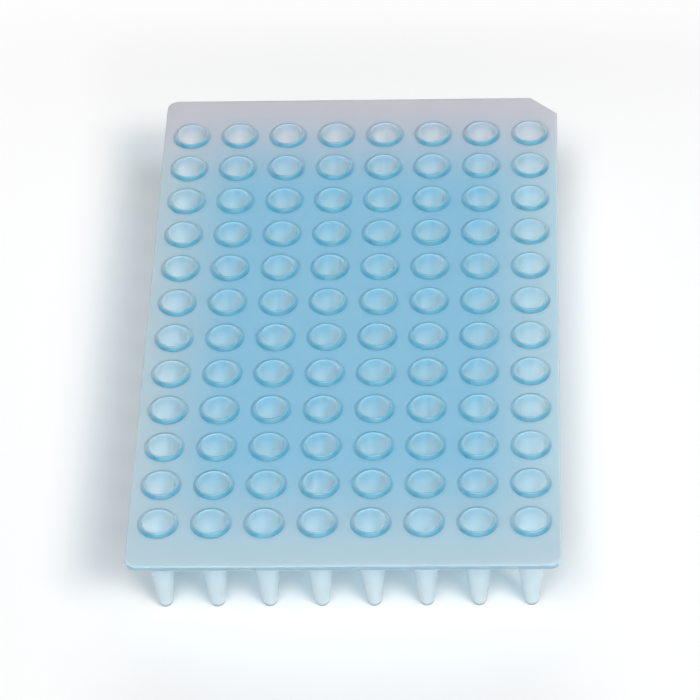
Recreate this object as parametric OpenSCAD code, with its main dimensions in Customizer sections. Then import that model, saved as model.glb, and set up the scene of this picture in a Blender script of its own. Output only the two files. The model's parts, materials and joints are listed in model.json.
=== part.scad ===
// 96-well thin-wall plate: a flat deck that carries eight by twelve conical tubes, moulded in one piece.
// The origin is on the plane of the tube tips, under the middle of the well grid.
// +Z is up, the rows of twelve wells run along Y and the rows of eight wells run along X.

/* [Well grid] */
// Wells across the plate, along X
wells_x = 8; // [2:1:8]
// Wells along the plate, along Y
wells_y = 12; // [2:1:12]
// Distance from one well to the next
pitch = 9; // [8.6:0.1:12]

/* [Deck] */
// Deck beyond the middle of the outer wells, on the two long sides
side_margin = 5.1; // [4.6:0.1:12]
// Deck beyond the middle of the outer wells, at the two ends
end_margin = 10.1; // [5:0.1:14]
// Thickness of the deck
deck_t = 1; // [0.6:0.1:1.6]
// Radius of the three rounded corners, seen from above
corner_r = 2; // [0.5:0.1:4]
// Reach of the cut corner along X
key_x = 5; // [2:0.5:8]
// Reach of the cut corner along Y
key_y = 4.5; // [2:0.5:8]

/* [Rim] */
// Height of the raised rim above the deck
rim_h = 0.5; // [0.3:0.05:1.2]
// Outer diameter of the raised rim where it rises from the deck
rim_d = 7; // [6.8:0.1:7.6]
// Outer diameter of the rim's flat top, to which its outer wall slopes in
rim_top_d = 5.8; // [5.8:0.05:6.3]
// Lead-in at the mouth of the well
lead_in = 0.1; // [0.05:0.05:0.15]

/* [Tube] */
// Height of the whole plate, from the tube tips to the rims
plate_h = 20.7; // [19:0.1:23]
// Inner diameter at the mouth of the well
well_d = 5.3; // [5:0.05:5.4]
// Depth of the straight mouth, from the rim down
mouth_depth = 1.6; // [1.55:0.05:1.9]
// Outer diameter where the tube leaves the deck
tube_d = 6.1; // [6:0.05:6.4]
// Depth of the nearly straight upper part of the tube, from the rim down
collar_depth = 6.4; // [4:0.1:8]
// Slope of the walls of the upper part, in degrees
draft = 1.4; // [0.5:0.1:2]
// Radius of the rounded tip, outside
tip_r = 1.25; // [1.1:0.05:1.5]
// Radius of the small flat that the tip stands on
foot_r = 0.65; // [0.3:0.05:0.9]
// Radius of the rounded bottom of the well, inside
bottom_r = 0.9; // [0.6:0.05:1]
// Thickness of the bottom
bottom_t = 0.45; // [0.3:0.05:0.8]
// Fillet between the tube and the underside of the deck
root_r = 0.4; // [0.1:0.05:0.5]

/* [Hidden] */
$fn = 64;
// a cut reaches this far past a face, so that no two faces lie on each other
past = 1;
deck_top = plate_h - rim_h;
deck_under = deck_top - deck_t;
deck_middle = (deck_top + deck_under) / 2;
deck_w = (wells_x - 1) * pitch + 2 * side_margin;
deck_l = (wells_y - 1) * pitch + 2 * end_margin;
tube_r = tube_d / 2;
rim_r = rim_d / 2;
rim_top_r = rim_top_d / 2;
well_r = well_d / 2;
// height of the lower end of the straight mouth
mouth_z = plate_h - mouth_depth;
// height at which the tube turns conical, and how much narrower the walls are there
collar_z = plate_h - collar_depth;
narrowing = (deck_under - collar_z) * tan(draft);
// heights of the centres of the rounded tip and the rounded bottom
tip_z = sqrt(tip_r * tip_r - foot_r * foot_r);
bottom_z = bottom_t + bottom_r;

// where a straight line from the point top touches the underside of a circle centred on the axis
function touch(r, centre_z, top) =
    let (reach = norm([top.x, top.y - centre_z]))
    let (angle = atan2(top.y - centre_z, top.x) - acos(r / reach))
    [r * cos(angle), centre_z + r * sin(angle)];

// half of a cone with a rounded lower end, from the axis outwards, that ends at the point top
module rounded_cone(r, centre_z, top) {
    edge = touch(r, centre_z, top);
    polygon([[0, edge.y], edge, top, [0, top.y]]);
    intersection() {
        translate([0, centre_z])
            circle(r = r);
        square([r, edge.y]);
    }
}

// half of the section through a tube and its rim, without the well
module tube_section() {
    rounded_cone(tip_r, tip_z, [tube_r - narrowing, collar_z]);
    polygon([
        [0, collar_z],
        [tube_r - narrowing, collar_z],
        [tube_r, deck_under - root_r],
        [0, deck_under - root_r]
    ]);
    // neck in the deck, with a fillet under the deck
    translate([0, deck_under - root_r])
        difference() {
            square([tube_r + root_r, deck_middle - deck_under + root_r]);
            translate([tube_r + root_r, 0])
                circle(r = root_r);
        }
    // rim, with a sloping outer wall and a narrow flat top
    polygon([
        [0, deck_middle],
        [rim_r, deck_middle],
        [rim_r, deck_top],
        [rim_top_r, plate_h],
        [0, plate_h]
    ]);
}

// half of the section through the space inside a well
module well_section() {
    rounded_cone(bottom_r, bottom_z, [well_r - narrowing, collar_z]);
    polygon([
        [0, collar_z],
        [well_r - narrowing, collar_z],
        [well_r, mouth_z],
        [0, mouth_z]
    ]);
    // mouth, straight through the rim and the deck, with a lead-in
    translate([0, mouth_z])
        square([well_r, mouth_depth + past]);
    polygon([
        [0, plate_h - lead_in],
        [well_r, plate_h - lead_in],
        [well_r + lead_in + past, plate_h + past],
        [0, plate_h + past]
    ]);
}

// the deck seen from above: three rounded corners and one cut corner
module deck_outline() {
    x = deck_w / 2;
    y = deck_l / 2;
    difference() {
        square([deck_w, deck_l], center = true);
        // the cut corner, reaching past the deck on its two outer sides
        polygon([
            [x - key_x, y + past],
            [x - key_x, y],
            [x, y - key_y],
            [x + past, y - key_y],
            [x + past, y + past]
        ]);
        // what lies outside each rounded corner
        for (side = [[-1, -1], [-1, 1], [1, -1]])
            translate([side.x * (x - corner_r), side.y * (y - corner_r)])
                difference() {
                    translate([side.x * corner_r, side.y * corner_r])
                        square(2 * corner_r, center = true);
                    circle(r = corner_r);
                }
    }
}

// places its children at the middle of every well
module at_wells() {
    for (i = [0:wells_x - 1], j = [0:wells_y - 1])
        translate([(i - (wells_x - 1) / 2) * pitch, (j - (wells_y - 1) / 2) * pitch])
            children();
}

module well_plate() {
    color("lightblue")
        difference() {
            union() {
                translate([0, 0, deck_under])
                    linear_extrude(deck_t)
                        deck_outline();
                at_wells()
                    rotate_extrude()
                        tube_section();
            }
            at_wells()
                rotate_extrude()
                    well_section();
        }
}

well_plate();
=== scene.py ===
# %% [markdown]
# # A 96-well plate of thin-walled tubes
# The real plate is one injection moulding: a flat deck with eight by twelve small conical tubes that
# hang from it. The CAD frame already holds its true shape, so here the same shape is made again with
# softer edges and finer curves, and it gets the look of frosted, faintly blue polypropylene.

# %% Load the frame
import json
import math

import bmesh
import bpy
from mathutils import Matrix, Vector


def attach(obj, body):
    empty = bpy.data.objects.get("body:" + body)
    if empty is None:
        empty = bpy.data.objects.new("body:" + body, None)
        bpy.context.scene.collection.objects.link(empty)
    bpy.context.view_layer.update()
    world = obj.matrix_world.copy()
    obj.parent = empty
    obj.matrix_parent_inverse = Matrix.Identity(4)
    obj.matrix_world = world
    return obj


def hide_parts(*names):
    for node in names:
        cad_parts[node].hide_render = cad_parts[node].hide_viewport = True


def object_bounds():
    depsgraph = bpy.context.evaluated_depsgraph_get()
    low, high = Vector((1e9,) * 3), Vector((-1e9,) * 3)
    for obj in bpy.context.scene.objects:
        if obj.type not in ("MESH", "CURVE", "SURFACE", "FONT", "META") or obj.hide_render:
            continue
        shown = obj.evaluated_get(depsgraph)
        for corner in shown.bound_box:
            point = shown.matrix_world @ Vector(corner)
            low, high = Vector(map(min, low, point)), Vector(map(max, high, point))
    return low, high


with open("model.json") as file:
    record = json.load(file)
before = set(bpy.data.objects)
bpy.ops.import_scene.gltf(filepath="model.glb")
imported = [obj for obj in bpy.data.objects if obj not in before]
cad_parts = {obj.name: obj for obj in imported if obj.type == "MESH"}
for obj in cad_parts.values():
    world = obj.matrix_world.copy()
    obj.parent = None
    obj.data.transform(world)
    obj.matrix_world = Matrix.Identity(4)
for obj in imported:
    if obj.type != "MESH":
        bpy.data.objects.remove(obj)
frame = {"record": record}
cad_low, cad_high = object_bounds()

MM = 0.001               # Blender works in metres here, and a plate is thought of in millimetres
print("the plate measures", [round(v / MM, 2) for v in cad_high - cad_low], "mm")

# %% [markdown]
# ## Reading the sizes
# Sizes come from the frame and not from memory, so that the looks can never drift away from the CAD.
# The first and the last well of the grid are stated bores, and every other well lies between them, one
# pitch apart. The seats for the film and for the rack give the heights of the rims and of the deck's
# underside. Only what no mount states, such as walls and edge roundings, is named here.

# %% Sizes that the frame gives
mounts = {m["name"]: m for m in frame["record"]["mounts"]}
PITCH = 9.0 * MM         # shared by all ware with 96 wells
first, last = (Vector(mounts[name]["pos_m"][:2]) for name in ("well_a1", "well_h12"))
across = [first.x + PITCH * i for i in range(round((last.x - first.x) / PITCH) + 1)]
along = [first.y + PITCH * i for i in range(round((last.y - first.y) / PITCH) + 1)]
well_places = [Vector((x, y)) for y in along for x in across]
WELL_R = mounts["well_a1"]["dims"]["r_mm"] * MM
RIM_TOP = mounts["film_seat"]["pos_m"][2]
DECK_UNDER = mounts["deck_underside"]["pos_m"][2]
print(len(well_places), "wells of", round(2 * WELL_R / MM, 2), "mm, rims at", round(RIM_TOP / MM, 2), "mm")

# %% Sizes that no mount gives
DECK_T = 1.0 * MM
RIM_R = 3.5 * MM         # where the rim rises from the deck
RIM_TOP_R = 2.9 * MM     # at its flat top, to which its outer wall slopes in
MOUTH_Z = 19.1 * MM      # the lower end of the straight mouth
COLLAR_Z = 14.3 * MM     # where the tube turns from nearly straight to conical
DRAFT = 1.4              # degrees, the slope of the nearly straight part
TUBE_R = 3.05 * MM
TIP_R = 1.25 * MM
FOOT_R = 0.65 * MM
BOTTOM_R = 0.9 * MM
BOTTOM_T = 0.45 * MM
ROOT_R = 0.4 * MM
CORNER_R = 2.0 * MM
KEY = Vector((5.0, 4.5)) * MM
DECK_TOP = DECK_UNDER + DECK_T
NARROWING = (DECK_UNDER - COLLAR_Z) * math.tan(math.radians(DRAFT))
print("deck from", round(DECK_UNDER / MM, 2), "to", round(DECK_TOP / MM, 2), "mm above the tips")

# %% [markdown]
# ## The camera
# The plate is seen from the short end, a little from the right and about 44 degrees above the table,
# through a long lens, which keeps the far wells nearly as large as the near ones.

# %% Camera
AZIMUTH, ELEVATION, ROLL = 3.99, 44.23, -3.23      # degrees
DISTANCE = 0.6974                                  # metres
AIM = Vector((-0.2 * MM, -8.4 * MM, RIM_TOP))      # the point in the middle of the view
LENS, SENSOR = 204.0, 36.0                         # millimetres, as on a real camera
NEAREST, FURTHEST = 0.05, 10.0                     # metres between which anything is drawn


def look_along(azimuth, elevation, roll):
    """The way back to a camera, and its rotation. Azimuth 0 looks along +Y and 90 along -X."""
    a, e = math.radians(azimuth), math.radians(elevation)
    back = Vector((math.sin(a) * math.cos(e), -math.cos(a) * math.cos(e), math.sin(e)))
    turn = (-back).to_track_quat("-Z", "Y").to_matrix()
    return back, turn @ Matrix.Rotation(math.radians(roll), 3, "Z")


back, turn = look_along(AZIMUTH, ELEVATION, ROLL)
lens = bpy.data.cameras.new("camera")
lens.lens, lens.sensor_width = LENS, SENSOR
lens.clip_start, lens.clip_end = NEAREST, FURTHEST
camera = bpy.data.objects.new("camera", lens)
bpy.context.scene.collection.objects.link(camera)
camera.matrix_world = Matrix.Translation(AIM + back * DISTANCE) @ turn.to_4x4()
bpy.context.scene.camera = camera
print("camera at", [round(v, 4) for v in camera.location], "m")

# %% [markdown]
# ## Sections that are spun
# A tube is round, so it is made as a potter makes a pot: one section line, spun about the middle of
# the well. A Screw modifier on a curve could do it too, but 96 of them would be slow to edit. Here
# the section is a short list of points, with every rounding as an arc, and a loop spins it.


# %% Arcs and touching lines
def arc(centre_r, centre_z, radius, start, end, steps):
    """Points on an arc in the section, from the angle start to the angle end, in degrees."""
    turns = [math.radians(start + (end - start) * i / steps) for i in range(steps + 1)]
    return [(centre_r + radius * math.cos(t), centre_z + radius * math.sin(t)) for t in turns]


def touching_angle(radius, centre_z, top_r, top_z):
    """Where a straight line from (top_r, top_z) touches the underside of a ball on the axis."""
    reach = math.hypot(top_r, top_z - centre_z)
    return math.degrees(math.atan2(top_z - centre_z, top_r) - math.acos(radius / reach))


def soft_corner(start, corner, end, steps=3):
    """Points on a curve that leaves the corner out: from start to end, pulled towards the corner."""
    shares = [i / steps for i in range(steps + 1)]
    curve = [start * (1 - t) ** 2 + corner * 2 * t * (1 - t) + end * t**2 for t in shares]
    return [(point.x, point.y) for point in curve]


print("the middle of a quarter circle:", [round(v, 3) for v in arc(0, 0, 1, 0, 90, 2)[1]])

# %% The two sections
MOUTH_ROUND = 0.1 * MM
FOOT_SOFT = 0.12 * MM    # how far the rounding reaches along each side of the rim's foot
TOP_SOFT = 0.1 * MM      # and of its upper edge
MOUTH_STEPS, BOTTOM_STEPS, ROOT_STEPS, TIP_STEPS = 2, 5, 3, 4
TIP_Z = math.sqrt(TIP_R**2 - FOOT_R**2)
BOTTOM_Z = BOTTOM_T + BOTTOM_R

inside_touch = touching_angle(BOTTOM_R, BOTTOM_Z, WELL_R - NARROWING, COLLAR_Z)
level = Vector((1, 0))
foot = Vector((RIM_R, DECK_TOP))
brow = Vector((RIM_TOP_R, RIM_TOP))
slope = (foot - brow).normalized()
inside = (
    soft_corner(foot + level * FOOT_SOFT, foot, foot - slope * FOOT_SOFT)
    + soft_corner(brow + slope * TOP_SOFT, brow, brow - level * TOP_SOFT)
    + arc(WELL_R + MOUTH_ROUND, RIM_TOP - MOUTH_ROUND, MOUTH_ROUND, 90, 180, MOUTH_STEPS)
    + [(WELL_R, MOUTH_Z), (WELL_R - NARROWING, COLLAR_Z)]
    + arc(0, BOTTOM_Z, BOTTOM_R, inside_touch, -90, BOTTOM_STEPS)[:-1]
)

outside_touch = touching_angle(TIP_R, TIP_Z, TUBE_R - NARROWING, COLLAR_Z)
foot_angle = -math.degrees(math.acos(FOOT_R / TIP_R))
outside = (
    arc(TUBE_R + ROOT_R, DECK_UNDER - ROOT_R, ROOT_R, 90, 180, ROOT_STEPS)
    + [(TUBE_R - NARROWING, COLLAR_Z)]
    + arc(0, TIP_Z, TIP_R, outside_touch, foot_angle, TIP_STEPS)
)
print("section points inside and outside:", len(inside), len(outside))

# %% [markdown]
# ## One sheet around each well
# The deck is built as square cells, one to a well. Each cell joins the ring of points at the foot of
# the rim to points on the cell's square edge, so neighbouring cells share their edge points and weld
# into one skin. A boolean cut would give the same holes, but with long thin faces that shade badly.

# %% Spin and cell
SEGMENTS = 32            # a multiple of 8, so that each cell has a point at its corners


def ring(bm, place, radius, z):
    """A loop of points round the middle of a well."""
    turns = [2 * math.pi * k / SEGMENTS for k in range(SEGMENTS)]
    around = [place + radius * Vector((math.cos(t), math.sin(t))) for t in turns]
    return [bm.verts.new((*point, z)) for point in around]


def square_edge(bm, place, z):
    """Points on a cell's edge, each in line with the middle of the well and a point of its ring."""
    points = []
    for k in range(SEGMENTS):
        t = 2 * math.pi * k / SEGMENTS
        reach = PITCH / 2 / max(abs(math.cos(t)), abs(math.sin(t)))
        points.append(bm.verts.new((place.x + reach * math.cos(t), place.y + reach * math.sin(t), z)))
    return points


def bridge(bm, one, other):
    """A band of faces between two closed loops with the same number of points."""
    for k in range(len(one)):
        following = (k + 1) % len(one)
        bm.faces.new((one[k], one[following], other[following], other[k]))


def spin(bm, place, section, end_z):
    """The faces of a spun section, closed by a point at the height end_z. Returns its first ring."""
    rings = [ring(bm, place, r, z) for r, z in section]
    for one, other in zip(rings, rings[1:]):
        bridge(bm, one, other)
    middle = bm.verts.new((place.x, place.y, end_z))
    for k in range(SEGMENTS):
        bm.faces.new((rings[-1][k], rings[-1][(k + 1) % SEGMENTS], middle))
    return rings[0]


print("each ring has", SEGMENTS, "points")

# %% [markdown]
# ## The deck's outline
# Seen from above the deck is a rectangle with three rounded corners and one cut corner, the key that
# shows which way round the plate goes. A list of corners, each with its own radius, is turned into
# points that also carry the direction in which they face, so that the edge can be rounded inwards.

# %% Outline
half_w, half_l = cad_high.x, cad_high.y
KEY_ROUND = 0.6 * MM
EDGE_ROUND = 0.22 * MM
corners = [
    (Vector((-half_w, -half_l)), CORNER_R),
    (Vector((half_w, -half_l)), CORNER_R),
    (Vector((half_w, half_l - KEY.y)), KEY_ROUND),
    (Vector((half_w - KEY.x, half_l)), KEY_ROUND),
    (Vector((-half_w, half_l)), CORNER_R),
]


def rounded(at, steps=6):
    """Points round one corner of the outline, each with the direction in which it faces."""
    corner, radius = corners[at]
    before = (corner - corners[at - 1][0]).normalized()
    after = (corners[(at + 1) % len(corners)][0] - corner).normalized()
    start = math.atan2(-before.x, before.y)
    swing = abs(before.angle_signed(after))
    centre = corner + (after - before).normalized() * radius / math.cos(swing / 2)
    turns = [start + swing * i / steps for i in range(steps + 1)]
    facing = [Vector((math.cos(t), math.sin(t))) for t in turns]
    return [(centre + n * radius, n) for n in facing]


outline = [pair for at in range(len(corners)) for pair in rounded(at)]
print("outline points:", len(outline))

# %% [markdown]
# ## The whole plate
# Top and underside are two flat skins of cells. The strip between the cells and the deck's edge is
# filled with triangles, and the edge itself is a band of loops that follow a rounded profile, as the
# two halves of a mould leave it. One mesh comes out, closed all round, like the real moulding.

# %% Strip and edge
field_x = max(place.x for place in well_places) + PITCH / 2
field_y = max(place.y for place in well_places) + PITCH / 2
SAME = 1e-6              # metres within which two points count as one
LEVEL = 1e-7             # and within which a point counts as being at a height


def on_field_border(point, z):
    """Whether a point lies at the height z, in line with the outer edge of the outer cells."""
    near_x = abs(abs(point.x) - field_x) < SAME
    near_y = abs(abs(point.y) - field_y) < SAME
    return abs(point.z - z) < LEVEL and (near_x or near_y)


def fill_strip(bm, z, loop):
    """Triangles between the open border of the cells at the height z and a loop of the deck's edge."""
    single = [edge for edge in bm.edges if len(edge.link_faces) == 1]
    border = [edge for edge in single if all(on_field_border(v.co, z) for v in edge.verts)]
    outer = [bm.edges.get((a, b)) or bm.edges.new((a, b)) for a, b in zip(loop, loop[1:] + loop[:1])]
    bmesh.ops.triangle_fill(bm, use_beauty=True, edges=border + outer)


def edge_loop(bm, angle, z):
    """The outline at one angle of its rounded edge."""
    inset = EDGE_ROUND * (1 - math.cos(math.radians(angle)))
    height = z + EDGE_ROUND * math.sin(math.radians(angle))
    return [bm.verts.new((*(p - n * inset), height)) for p, n in outline]


print("the cells cover", round(2 * field_x / MM, 2), "by", round(2 * field_y / MM, 2), "mm")

# %% Skins of cells
bm = bmesh.new()
skins = ((inside, DECK_TOP, BOTTOM_T), (outside, DECK_UNDER, outside[-1][1]))
for section, z, end_z in skins:
    for place in well_places:
        bridge(bm, square_edge(bm, place, z), spin(bm, place, section, end_z))
bmesh.ops.remove_doubles(bm, verts=bm.verts, dist=SAME)
print("faces of the cells and tubes:", len(bm.faces))

# %% Edge of the deck, closed mesh
upper = [edge_loop(bm, angle, DECK_TOP - EDGE_ROUND) for angle in (90, 60, 30, 0)]
lower = [edge_loop(bm, angle, DECK_UNDER + EDGE_ROUND) for angle in (0, -30, -60, -90)]
loops = upper + lower
for one, other in zip(loops, loops[1:]):
    bridge(bm, one, other)
fill_strip(bm, DECK_TOP, loops[0])
fill_strip(bm, DECK_UNDER, loops[-1])
bmesh.ops.recalc_face_normals(bm, faces=bm.faces)
for face in bm.faces:
    face.smooth = True
open_edges = [edge for edge in bm.edges if len(edge.link_faces) != 2]
print("faces:", len(bm.faces), "edges not shared by two faces:", len(open_edges))
print("volume in cubic millimetres:", round(bm.calc_volume() / MM**3, 1))

# %% The piece
mesh = bpy.data.meshes.new("plate")
bm.to_mesh(mesh)
bm.free()
plate = bpy.data.objects.new("plate", mesh)
bpy.context.collection.objects.link(plate)
print("triangles:", sum(len(p.vertices) - 2 for p in mesh.polygons))

shading = plate.modifiers.new("flat_faces_stay_flat", "WEIGHTED_NORMAL")
shading.keep_sharp = True
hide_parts("well_plate")
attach(plate, "root")

# %% [markdown]
# ## Shader maths as plain sums
# Node trees are hard to read when every sum is a node made by hand. This small class wraps a socket,
# so that a sum of sockets is written as a sum, and each operator makes the Math node that it needs.


# %% Socket maths
class Wire:
    """A socket of a node tree, on which ordinary sums work."""

    def __init__(self, tree, socket):
        self.tree, self.socket = tree, socket

    def node(self, kind, settings=None, output=0, **inputs):
        """A new node of any type: first its settings, then its sockets, by name or as _number.

        What comes back is a wire at one of its outputs, which a name or a number picks.
        """
        made = self.tree.nodes.new(kind)
        for name, value in (settings or {}).items():
            setattr(made, name, value)
        for name, value in inputs.items():
            self.join(value, made.inputs[int(name[1:])] if name[0] == "_" else made.inputs[name])
        return Wire(self.tree, made.outputs[output])

    def join(self, value, target):
        """A socket gets a link if the value is a wire, and else the value itself."""
        if isinstance(value, Wire):
            self.tree.links.new(value.socket, target)
        else:
            target.default_value = value

    def sum(self, operation, *values):
        """A Math node. Each operator below is one of its operations."""
        inputs = {f"_{i}": value for i, value in enumerate(values)}
        return self.node("ShaderNodeMath", {"operation": operation}, **inputs)

    def __add__(self, other):
        return self.sum("ADD", self, other)

    def __sub__(self, other):
        return self.sum("SUBTRACT", self, other)

    def __mul__(self, other):
        return self.sum("MULTIPLY", self, other)

    def __truediv__(self, other):
        return self.sum("DIVIDE", self, other)

    def __rsub__(self, other):
        return self.sum("SUBTRACT", other, self)

    def __rtruediv__(self, other):
        return self.sum("DIVIDE", other, self)

    __radd__ = __add__
    __rmul__ = __mul__

    def size(self):
        """The number without its sign."""
        return self.sum("ABSOLUTE", self)

    def rest(self):
        """What is left above the whole number below."""
        return self.sum("FRACT", self)

    def root(self):
        return self.sum("SQRT", self)

    def least(self, other):
        return self.sum("MINIMUM", self, other)

    def step(self, low, high):
        """0 at low, 1 at high, and a soft rise between them. It falls if low is the larger one."""
        settings = {"interpolation_type": "SMOOTHSTEP"}
        inputs = {"Value": self, "From Min": low, "From Max": high}
        return self.node("ShaderNodeMapRange", settings, **inputs)

    def mix(self, first, second):
        """A colour between two others, with this wire as the share of the second."""
        inputs = {"_0": self, "_6": first, "_7": second}
        return self.node("ShaderNodeMix", {"data_type": "RGBA"}, 2, **inputs)

    def parts(self):
        """The three numbers that a vector is made of."""
        first = self.node("ShaderNodeSeparateXYZ", _0=self)
        return [Wire(self.tree, socket) for socket in first.socket.node.outputs]


# %% Materials and colours
def new_material(name):
    """An empty material, and a wire at its output to build the rest from."""
    material = bpy.data.materials.new(name)
    material.use_nodes = True
    tree = material.node_tree
    tree.nodes.clear()
    output = tree.nodes.new("ShaderNodeOutputMaterial")
    return material, Wire(tree, output.inputs["Surface"])


def rgb(red, green, blue):
    """A colour as it looks on a screen, 0 to 255, turned into the linear values that a shader takes."""
    parts = [c / 255 for c in (red, green, blue)]
    linear = [c / 12.92 if c <= 0.04045 else ((c + 0.055) / 1.055) ** 2.4 for c in parts]
    return (*linear, 1.0)


def grey(level):
    return rgb(level, level, level)


BLACK = grey(0)
print("a middle grey in linear values:", round(grey(128)[0], 3))

# %% [markdown]
# ## Where on the plate a point lies
# The plastic is one colour all through, but it looks bluer where more of it lies behind the surface,
# and paler at a thin edge. Much of the colour below is also painted light and painted shade. So the
# finish first works out where a point is: how far from the nearest well's middle, how high, and how
# far in from the deck's edge. Everything is in millimetres.

# %% Places
plastic, plastic_end = new_material("frosted_polypropylene")
place = plastic_end.node("ShaderNodeTexCoord", output="Object")
x, y, z = (part / MM for part in place.parts())

RIM_AT, TOP_AT, UNDER_AT = RIM_TOP / MM, DECK_TOP / MM, DECK_UNDER / MM
FIELD_X, FIELD_Y = field_x / MM, field_y / MM
HALF_W, HALF_L = half_w / MM, half_l / MM
HAIR = 0.01              # a step so short that it looks like a line

cell = PITCH / MM        # each well is in the middle of its own cell
in_x = ((x / cell).rest() - 0.5) * cell
in_y = ((y / cell).rest() - 0.5) * cell
from_well = (in_x * in_x + in_y * in_y).root()
from_side = HALF_W - x.size()
from_end = HALF_L - y.size()
in_field = x.size().step(FIELD_X + HAIR, FIELD_X - HAIR) * y.size().step(FIELD_Y + HAIR, FIELD_Y - HAIR)
print("nodes that say where a point is:", len(plastic.node_tree.nodes))

# %% [markdown]
# ## Frosted polypropylene
# The plastic lets light in and scatters it, so nothing is seen sharply through a tube. Subsurface
# scattering does just that: light that enters the deck or a thin wall wanders and comes out again
# nearby or on the other side. The base colour then carries what a thickness does to the plastic, and
# also painted light and painted shade. The middle of the deck is the deepest blue, partly because most
# of the tubes lie round it and partly as painted shade, and the margins are pale. The far end is a
# little grey and lighter, a painted light, and the upright edge of the deck is darker than its top, a
# painted shade.

# %% Deck colours
SIDE_LEFT = rgb(182, 201, 210)
SIDE_RIGHT = rgb(181, 206, 217)
# partly painted shade: the deeper blue in the middle of the deck
MIDDLE = rgb(144, 194, 218)
NEAR = rgb(180, 200, 209)
# painted light at the far end, and painted shade on the upright edge
FAR_END_PAINTED_LIGHT = rgb(200, 199, 206)
EDGE_PAINTED_SHADE = rgb(130, 157, 171)

# a band runs from where a colour begins to where it is full: in from a long side or an end,
SIDE_BAND, END_BAND = (-1.0, 17.0), (1.0, 0.3)
# along Y,
NEAR_BAND, FAR_BAND = (-32.0, -62.0), (32.0, 61.0)
# and in height above the tips
EDGE_TOP = (TOP_AT, TOP_AT - 0.06)
EDGE_UNDER = (UNDER_AT - 0.05, UNDER_AT + 0.1)
EDGE_AT_SIDES = 0.3      # the share of the edge's colour on the long sides

sides = x.step(-FIELD_X, FIELD_X).mix(SIDE_LEFT, SIDE_RIGHT)
deck = from_side.step(*SIDE_BAND).mix(sides, MIDDLE)
deck = y.step(*NEAR_BAND).mix(deck, NEAR)
# painted light: the far end lighter and greyer
deck = y.step(*FAR_BAND).mix(deck, FAR_END_PAINTED_LIGHT)
on_edge = (1.0 - in_field) * z.step(*EDGE_TOP) * z.step(*EDGE_UNDER)
edge_share = from_end.step(*END_BAND) * (1.0 - EDGE_AT_SIDES) + EDGE_AT_SIDES
# painted shade: the upright edge of the deck darker than its top
deck = (on_edge * edge_share).mix(deck, EDGE_PAINTED_SHADE)
print("nodes with the deck's colours:", len(plastic.node_tree.nodes))

# %% [markdown]
# ## Rims
# A rim is thicker than the deck, so its sloping side is a deeper blue. Most of that blue, towards the
# front and at its foot, is painted shade, and so are a slightly darker back of the slope and a faint
# halo of painted shade on the deck round it, mostly in front. The paint could be a picture laid over
# the mesh, but a few sums on the distance from the nearest well give all 96 rims at once and stay
# sharp.

# %% Rim colours
# deep blues of a rim's slope: partly its thick plastic, mostly painted shade
RIM_DEPTH_AND_SHADE = rgb(66, 151, 179)
RIM_FOOT_DEPTH_AND_SHADE = rgb(64, 147, 175)
# painted shade on the flat top of each rim and on the far wall of its mouth
RIM_TOP_PAINTED_SHADE = rgb(110, 170, 196)

# out from the middle of a well
FOOT_BAND, HALO_BAND = (3.0, 3.3), (4.4, 3.3)
SLOPE_STARTS, SLOPE_ENDS = (2.82, 2.98), (3.6, 3.45)
# heights above the tips
SLOPE_HEIGHT = (TOP_AT - 0.1, TOP_AT)
HALO_HEIGHT = (TOP_AT - 0.1, TOP_AT - 0.01)
# round a well, from -1 behind it to 1 in front, which is meant a little to the right
ASIDE = 0.15
FRONT_TURN, BACK_TURN, HALO_TURN = (-0.5, 1.1), (-0.7, -1.0), (-0.3, 1.0)
BACK_SHARE, HALO_SHARE = 0.4, 0.2

towards_front = (in_x * ASIDE - in_y) / from_well
at_foot = from_well.step(*FOOT_BAND)
# painted shade: the slope darkest towards the front and at its foot, a little darker behind
slope_side = towards_front.step(*FRONT_TURN).mix(deck, at_foot.mix(RIM_DEPTH_AND_SHADE, RIM_FOOT_DEPTH_AND_SHADE))
slope_side = (towards_front.step(*BACK_TURN) * BACK_SHARE).mix(slope_side, RIM_DEPTH_AND_SHADE)
# painted shade: a faint dark halo on the deck round each rim, mostly in front
halo_painted_shade = from_well.step(*HALO_BAND) * towards_front.step(*HALO_TURN) * in_field * z.step(*HALO_HEIGHT)
tint = (halo_painted_shade * HALO_SHARE).mix(deck, RIM_DEPTH_AND_SHADE)
on_slope = from_well.step(*SLOPE_STARTS) * from_well.step(*SLOPE_ENDS) * z.step(*SLOPE_HEIGHT)
tint = (on_slope * in_field).mix(tint, slope_side)
print("nodes with the rims:", len(plastic.node_tree.nodes))

# %% [markdown]
# ## Inside a well
# The thin wall of a tube is much paler than the deck, partly for its thinness and partly as painted
# light, and it is painted paler still towards the bottom, where the lamps reach little. The lamps fall
# in at an angle and leave the right side of a well in shade, so painted light makes that side the
# palest, and the far side, which they light most, is painted a little bluer, a painted shade. The flat
# top of the rim has a thin blue line of painted shade.

# %% Well colours
PALE = rgb(226, 247, 255)
PALE_FAR = rgb(228, 229, 231)
DEEP_PAINTED_LIGHT = rgb(244, 251, 255)

# heights above the tips
DEPTH_BAND, DEEP_BAND, MOUTH_SHADE_BAND = (RIM_AT - 0.2, 15.5), (16.5, 13.5), (18.5, 19.8)
TOP_HEIGHT = (RIM_AT - 0.2, RIM_AT - 0.02)
# out from the middle of a well
TOP_STARTS, TOP_ENDS = (2.6, 2.68), (2.96, 2.88)
# how pale the wall is at the mouth, the painted light that depth and the right side add, and the
# painted shade that the far side takes away
AT_MOUTH, DEPTH_PAINTED_LIGHT, RIGHT_SIDE_PAINTED_LIGHT, FAR_SIDE_PAINTED_SHADE = 0.33, 0.4, 0.6, 0.3
MOUTH_SHADE_SHARE, TOP_SHARE = 0.2, 0.5

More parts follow.
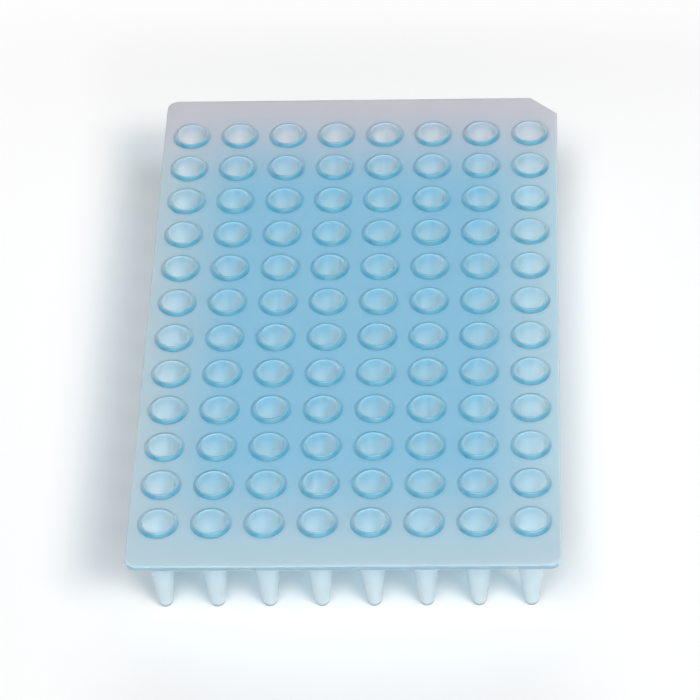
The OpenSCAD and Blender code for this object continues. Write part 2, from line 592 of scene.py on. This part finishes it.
# painted light: paler in the depths, and greyer in the far rows as at the deck's far end
pale = y.step(*FAR_BAND).mix(PALE, PALE_FAR)
pale = z.step(*DEEP_BAND).mix(pale, DEEP_PAINTED_LIGHT)
right_side = (in_x / from_well).step(0.0, 1.0)
far_side = (in_y / from_well).step(0.0, 1.0)
# painted light on the right side and in the depth, painted shade on the far side
paleness = z.step(*DEPTH_BAND) * DEPTH_PAINTED_LIGHT + AT_MOUTH + right_side * RIGHT_SIDE_PAINTED_LIGHT - far_side * FAR_SIDE_PAINTED_SHADE
wall = paleness.mix(deck, pale)
# painted shade: the far wall of the mouth, which the lamps light most, a little bluer
wall = (z.step(*MOUTH_SHADE_BAND) * far_side * MOUTH_SHADE_SHARE).mix(wall, RIM_TOP_PAINTED_SHADE)
in_well = from_well.step(SLOPE_STARTS[1], SLOPE_STARTS[0]) * in_field
tint = in_well.mix(tint, wall)
# painted shade: a thin blue line on the flat top of the rim
on_top = z.step(*TOP_HEIGHT) * from_well.step(*TOP_STARTS) * from_well.step(*TOP_ENDS) * in_field
tint = on_top.mix(tint, (on_top * TOP_SHARE).mix(deck, RIM_TOP_PAINTED_SHADE))
print("nodes with the wells:", len(plastic.node_tree.nodes))

# %% [markdown]
# ## Outside a tube
# The two sides of a wall are less than half a millimetre apart, and the outer one has its own tint. A
# second material could carry it, but one material is simpler to reuse. So a sum compares a point's
# distance from the middle of its well with that of the middle of the wall at the same height. The
# tubes are darker towards the bottom, and the tips darkest, partly because they are solid there and
# partly as painted shade where they stand on the floor.

# %% Tube colours
TUBE = rgb(187, 206, 214)
TUBE_LOW = rgb(184, 197, 201)
TIP_SOLID_AND_SHADE = rgb(112, 124, 130)

# the radius of the middle of the wall: at the collar, its growth per millimetre up, and at most
WALL_MIDDLE, WALL_LEAN, WALL_MOST = 2.73, 0.127, 2.85
WALL_BAND = (-0.05, 0.05)
# heights above the tips
BELOW_MOUTH = (MOUTH_Z / MM, MOUTH_Z / MM - 0.4)
LOW_BAND, TIP_BAND = (8.5, 3.5), (1.5, 0.4)

middle_of_wall = ((z - COLLAR_Z / MM) * WALL_LEAN + WALL_MIDDLE).least(WALL_MOST)
from_wall = from_well - middle_of_wall
outer_side = from_wall.step(*WALL_BAND) * z.step(*BELOW_MOUTH)
tube = z.step(*LOW_BAND).mix(TUBE, TUBE_LOW)
# partly painted shade: the solid tips darker where they stand on the floor
tube = z.step(*TIP_BAND).mix(tube, TIP_SOLID_AND_SHADE)
tint = outer_side.mix(tint, tube)
print("nodes with the tubes:", len(plastic.node_tree.nodes))

# %% [markdown]
# ## Light that passes through the plastic
# A thin wall also lets part of the light straight through. A half clear shader could do that, but
# then each tube would show through the next like a ghost, which frosted plastic never does. So the
# plastic is solid to the eye, and only a ray that looks for a lamp passes it, a little dimmer and
# bluer at each surface. That keeps the wells light to the bottom and makes the shadow soft and blue.
# A very fine grain gives the surface the dull sheen that a mould leaves on it.

# %% Plate material
GRAIN_SCALE, GRAIN_DETAIL = 900.0, 2.0
SMOOTHEST, ROUGHER = 0.38, 0.1           # the roughness, and how much the grain adds to it
PASSES = (0.52, 0.63, 0.68, 1.0)         # the share of red, green and blue that a surface lets through

grain = place.node("ShaderNodeTexNoise", Vector=place, Scale=GRAIN_SCALE, Detail=GRAIN_DETAIL)
bump = place.node("ShaderNodeBump", Strength=0.05, Distance=0.1 * MM, Height=grain)
frosted = place.node("ShaderNodeBsdfPrincipled", **{
    "Base Color": tint,
    "Roughness": grain * ROUGHER + SMOOTHEST,
    "IOR": 1.49,
    "Subsurface Weight": 1.0,
    "Subsurface Radius": (1.0, 1.0, 1.0),
    "Subsurface Scale": 2.0 * MM,
    "Normal": bump,
})
passing = place.node("ShaderNodeBsdfTransparent", Color=PASSES)
for_lamps = place.node("ShaderNodeLightPath", output="Is Shadow Ray")
finish = place.node("ShaderNodeMixShader", _0=for_lamps, _1=frosted, _2=passing)
place.join(finish, plastic_end.socket)
plate.data.materials.append(plastic)
print("nodes of the plastic:", len(plastic.node_tree.nodes))

# %% [markdown]
# ## Floor
# The plate stands on white paper. The paper is painted darker close to the plate and towards the
# front, a painted shade, and whiter towards the back and far to the left, a painted light where the
# lamps fall off. Under the deck it has a faint glow, painted light that stands for light which the
# tubes have led down. Beyond the shadow a camera sees plain white, whatever the lamps give there, and
# a camera below the floor looks through it.

# %% Floor sheet
REACH = 3.0              # metres from the middle to each edge
floor_mesh = bpy.data.meshes.new("floor")
floor_corners = [(-REACH, -REACH, 0), (REACH, -REACH, 0), (REACH, REACH, 0), (-REACH, REACH, 0)]
floor_mesh.from_pydata(floor_corners, [], [(0, 1, 2, 3)])
floor = bpy.data.objects.new("floor", floor_mesh)
bpy.context.scene.collection.objects.link(floor)
print("the floor is", 2 * REACH, "m wide")

# %% Paper colour
paper, paper_end = new_material("white_paper")
where = paper_end.node("ShaderNodeTexCoord", output="Object")
floor_x, floor_y = (part / MM for part in where.parts()[:2])
past_side = floor_x.size() - HALF_W
past_end = floor_y.size() - HALF_L
from_front = floor_y + HALF_L

# out from the middle, along X beyond the left side, and along Y
FRONT_BAND, BACK_BAND, LENGTH_BAND = (25, 55), (-HALF_W - 10, -HALF_W - 24), (-80, 80)
# painted shade: darker towards the front and close to the plate; painted light: whiter behind and far left
front_white = floor_x.size().step(*FRONT_BAND).mix(grey(229), grey(243))
back_white = floor_x.step(*BACK_BAND).mix(grey(251), grey(255))
white = floor_y.step(*LENGTH_BAND).mix(front_white, back_white)
print("nodes of the paper's whites:", len(paper.node_tree.nodes))

# %% Shade close to the plate
SHADE_BELOW, SHADE_BESIDE = 0.13, 0.14       # shares of black, below the deck and beside it
# past a long side, and along X on the left and the right
BELOW_BAND = (0, -4)
LEFT_BAND, RIGHT_BAND = (-HALF_W - 15, -HALF_W - 4), (HALF_W + 6.5, HALF_W)
# behind the front end, and past the back end
BELOW_FRONT, BESIDE_FRONT, PAST_BACK = (9, 16), (12, 28), (12, 0)

below_deck = past_side.step(*BELOW_BAND)
beside_deck = floor_x.step(*LEFT_BAND) * floor_x.step(*RIGHT_BAND) - below_deck
shade = below_deck * from_front.step(*BELOW_FRONT) * SHADE_BELOW
shade = shade + beside_deck * from_front.step(*BESIDE_FRONT) * SHADE_BESIDE
shade = shade * (floor_y - HALF_L).step(*PAST_BACK)
white = shade.mix(white, BLACK)
print("nodes with the shade:", len(paper.node_tree.nodes))

# %% Glow and clear surroundings
# painted light: a faint blue glow of the paper under the deck
GLOW = rgb(108, 119, 122)
# in from the deck's outline
GLOW_SIDE, GLOW_FRONT, GLOW_BACK = (0, 6), (6, 19), (0, 6)
# out beyond it, where the paper gives way to plain white
CLEAR_BAND = (30, 60)

under = (HALF_W - floor_x.size()).step(*GLOW_SIDE) * from_front.step(*GLOW_FRONT)
under = under * (HALF_L - floor_y).step(*GLOW_BACK)
sheet = where.node("ShaderNodeBsdfPrincipled", **{
    "Base Color": white,
    "Roughness": 1.0,
    "Specular IOR Level": 0.0,
    "Emission Color": under.mix(BLACK, GLOW),
    "Emission Strength": 1.0,
})
plain = where.node("ShaderNodeEmission", Color=grey(254))
seen = where.node("ShaderNodeLightPath", output="Is Camera Ray")
clear = 1.0 - (1.0 - past_side.step(*CLEAR_BAND)) * (1.0 - past_end.step(*CLEAR_BAND))
surface = where.node("ShaderNodeMixShader", _0=clear * seen, _1=sheet, _2=plain)
from_below = where.node("ShaderNodeNewGeometry", output="Backfacing")
nothing = where.node("ShaderNodeBsdfTransparent")
surface = where.node("ShaderNodeMixShader", _0=from_below * seen, _1=surface, _2=nothing)
where.join(surface, paper_end.socket)
floor.data.materials.append(paper)
print("nodes of the paper:", len(paper.node_tree.nodes))

# %% [markdown]
# ## Lamps
# Two soft boxes in front, one high on the left and one lower on the right, throw soft shadows back
# and to both sides. A wide low one fills the fronts of the tubes, and a faint white world does the
# rest. Their sum lights the floor about as brightly as white paper in a white room, so that every
# colour comes out about as it is written.

# %% Soft boxes
LAMP_DISTANCE = 2.4      # metres
lamps = [                # name, azimuth and elevation in degrees, width and height in metres, watts
    ("left_lamp", -12, 56, 1.0, 0.8, 34.5),
    ("right_lamp", 38, 46, 0.94, 0.6, 39.5),
    ("low_fill", 0, 12, 2.4, 0.5, 14.0),
]
for name, azimuth, elevation, width, height, watts in lamps:
    back, turn = look_along(azimuth, elevation, 0)
    light = bpy.data.lights.new(name, "AREA")
    light.shape = "RECTANGLE"
    light.size, light.size_y = width, height
    light.energy = watts
    holder = bpy.data.objects.new(name, light)
    bpy.context.scene.collection.objects.link(holder)
    holder.matrix_world = Matrix.Translation(back * LAMP_DISTANCE) @ turn.to_4x4()
    print(name, "stands", round(holder.location.z, 2), "m above the floor")

# %% World
WORLD_STRENGTH = 0.03
world = bpy.data.worlds.new("white_room")
world.use_nodes = True
background = world.node_tree.nodes["Background"]
background.inputs["Color"].default_value = grey(255)
background.inputs["Strength"].default_value = WORLD_STRENGTH
bpy.context.scene.world = world
bpy.context.scene.view_settings.view_transform = "Standard"
print("the world's strength is", WORLD_STRENGTH)
